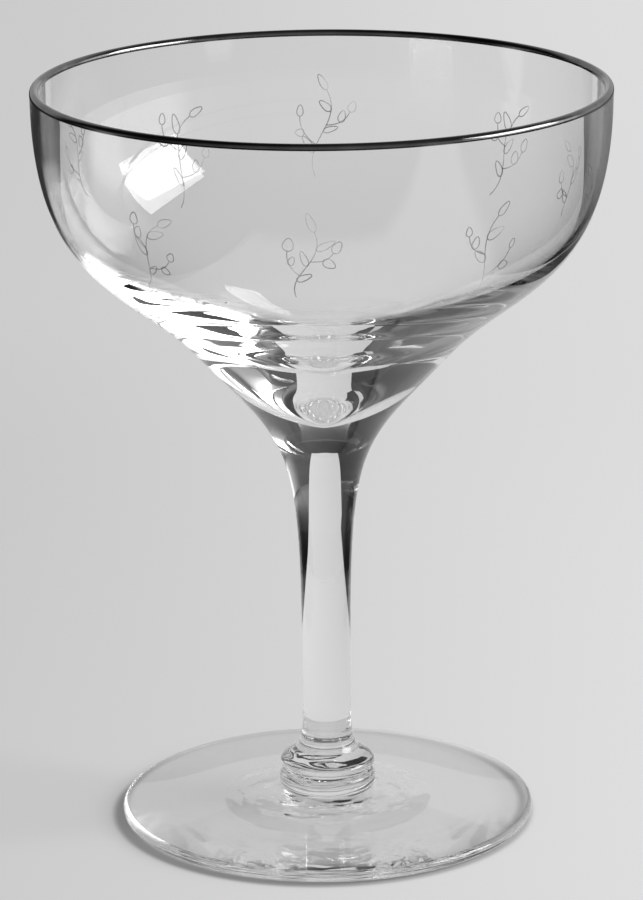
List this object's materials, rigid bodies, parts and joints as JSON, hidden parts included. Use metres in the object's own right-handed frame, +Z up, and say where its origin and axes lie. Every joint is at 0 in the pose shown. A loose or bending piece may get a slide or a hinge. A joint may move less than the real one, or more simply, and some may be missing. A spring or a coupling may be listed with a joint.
{
  "type": "sherbet glass",
  "caption": "Stemmed sherbet glass: wide bowl with a fine metal rim band, for dessert or drink, on a slim drawn stem, two-ring collar and round foot.",
  "frame": {"origin": "on the axis of the glass, at the level of the flat ring that the foot stands on", "axes": "+Z up along the axis of the glass, towards the rim; +Y away from the viewer, +X to the right of the picture"},
  "size_m": [0.096, 0.096, 0.127],
  "materials": {
    "foot": "clear fire-polished glass",
    "collar": "clear fire-polished glass",
    "stem": "clear fire-polished glass",
    "bowl": "clear fire-polished glass with fine engraved sprigs",
    "rim_band": "bright white-metal band fired on the lip"
  },
  "bodies": {
    "root": {"foot": "foot", "collar": "collar", "stem": "stem", "bowl": "bowl", "rim_band": "rim_band"}
  },
  "joints": []
}
